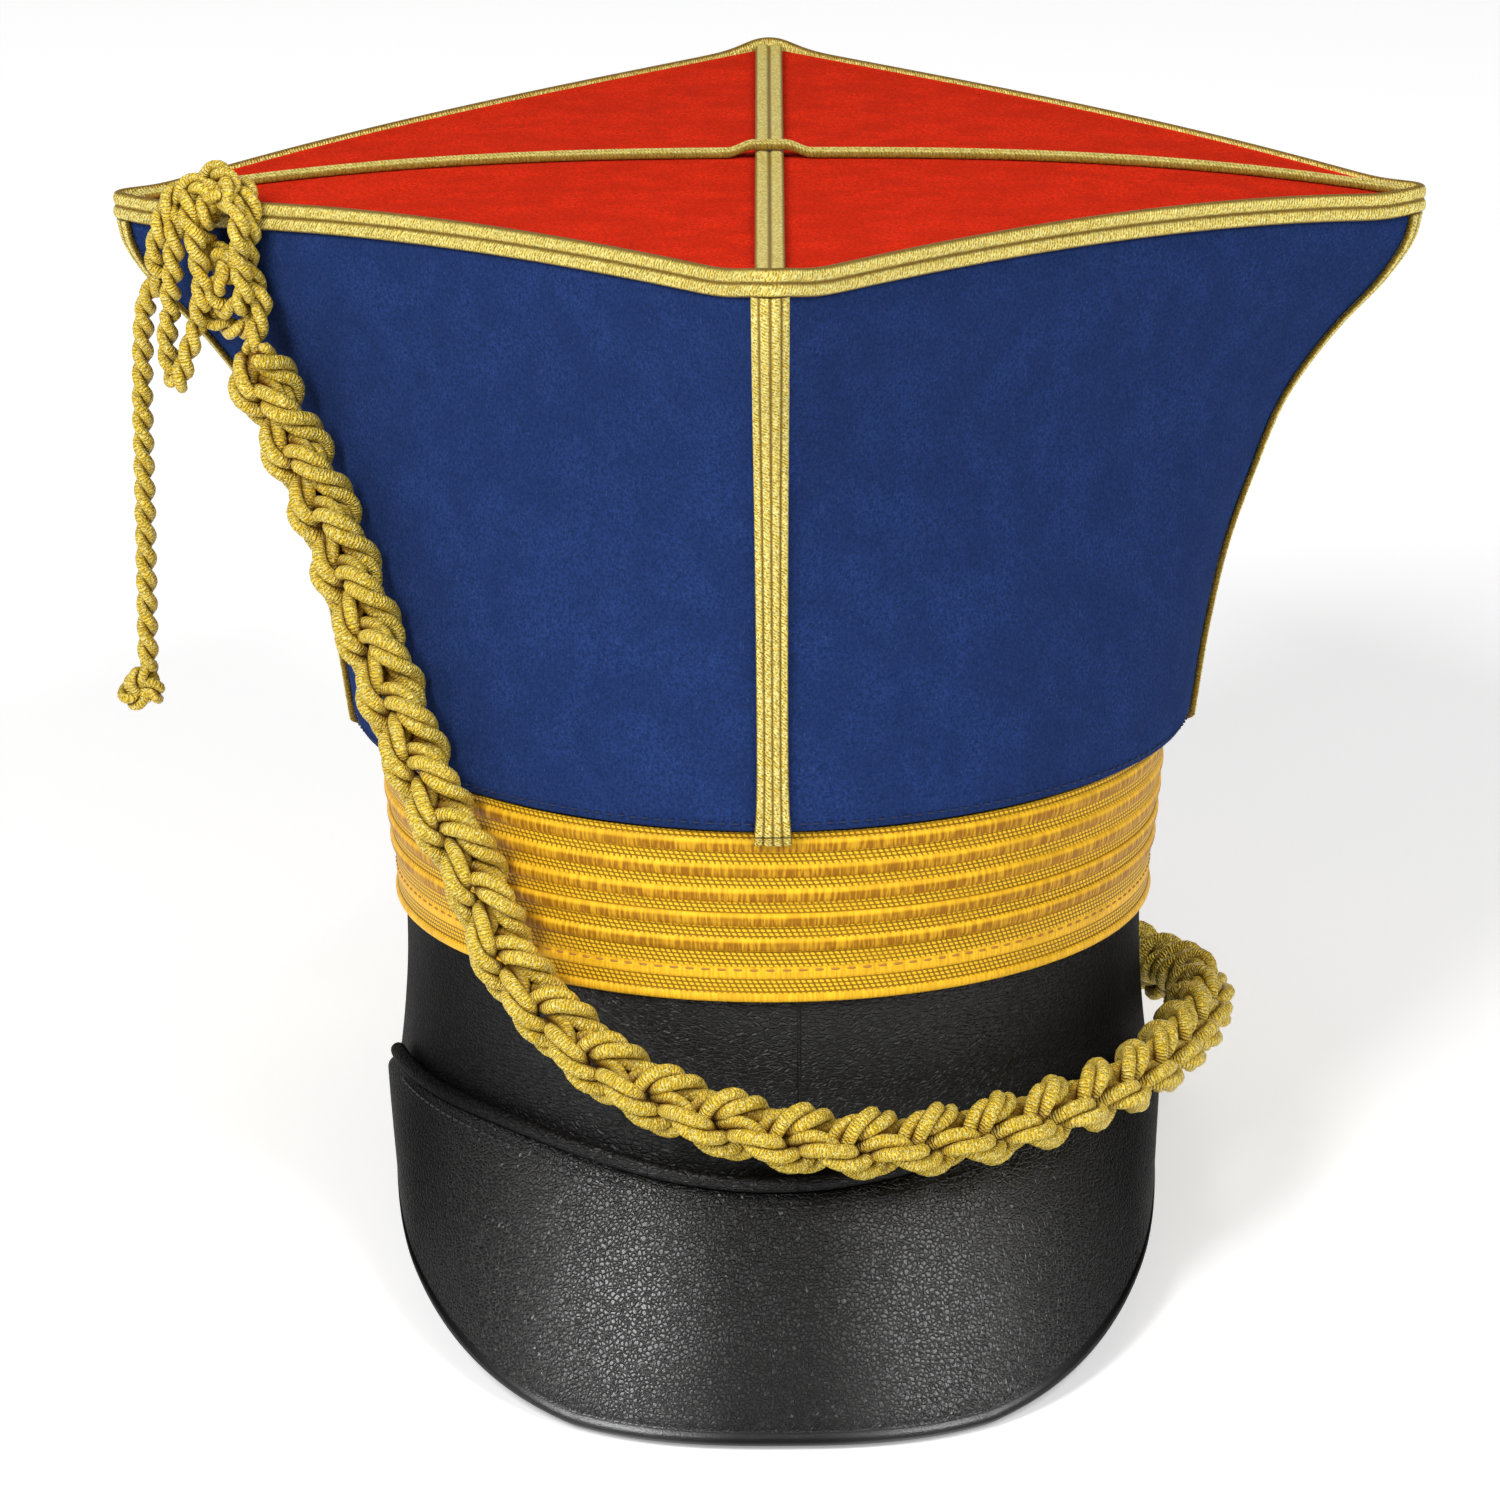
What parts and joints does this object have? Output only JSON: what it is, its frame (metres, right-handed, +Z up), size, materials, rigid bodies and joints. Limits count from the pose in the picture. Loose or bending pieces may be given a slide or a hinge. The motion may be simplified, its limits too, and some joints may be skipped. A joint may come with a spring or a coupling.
{
  "type": "shako hat",
  "caption": "Lancer's shako with a square cloth top, oval leather skull, sloping peak, ribbed lace waist band, gold braids and a plaited cap line with a corner knot and hanging cord.",
  "frame": {"origin": "middle of the footprint, on the surface the hat stands on", "axes": "+Z up, -Y towards the peak, +X towards the viewer's right when the peak faces the viewer"},
  "size_m": [0.291, 0.3222, 0.2575],
  "materials": {
    "black_leather": "fine pebbled grain, satin",
    "silk_lace": "ribbed woven silk",
    "blue_wool": "matte felted wool",
    "red_wool": "matte felted wool",
    "gold_braid": "metal thread braid",
    "gold_cord": "twisted metal thread"
  },
  "bodies": {
    "root": {"skull": "black_leather", "peak": "black_leather", "peak_welt": "black_leather", "waist_band": "silk_lace", "panel_front_left": "blue_wool", "panel_front_right": "blue_wool", "panel_back_left": "blue_wool", "panel_back_right": "blue_wool", "top_cloth": "red_wool", "top_edge_braid": "gold_braid", "cross_braid_long": "gold_braid", "cross_braid_side": "gold_braid", "corner_braid_front": "gold_braid", "corner_braid_right": "gold_braid", "corner_braid_back": "gold_braid", "corner_braid_left": "gold_braid", "plait": "gold_cord", "corner_knot": "gold_cord", "hanging_cord": "gold_cord", "hanging_loop": "gold_cord", "cord_end_knot": "gold_cord"}
  },
  "joints": []
}
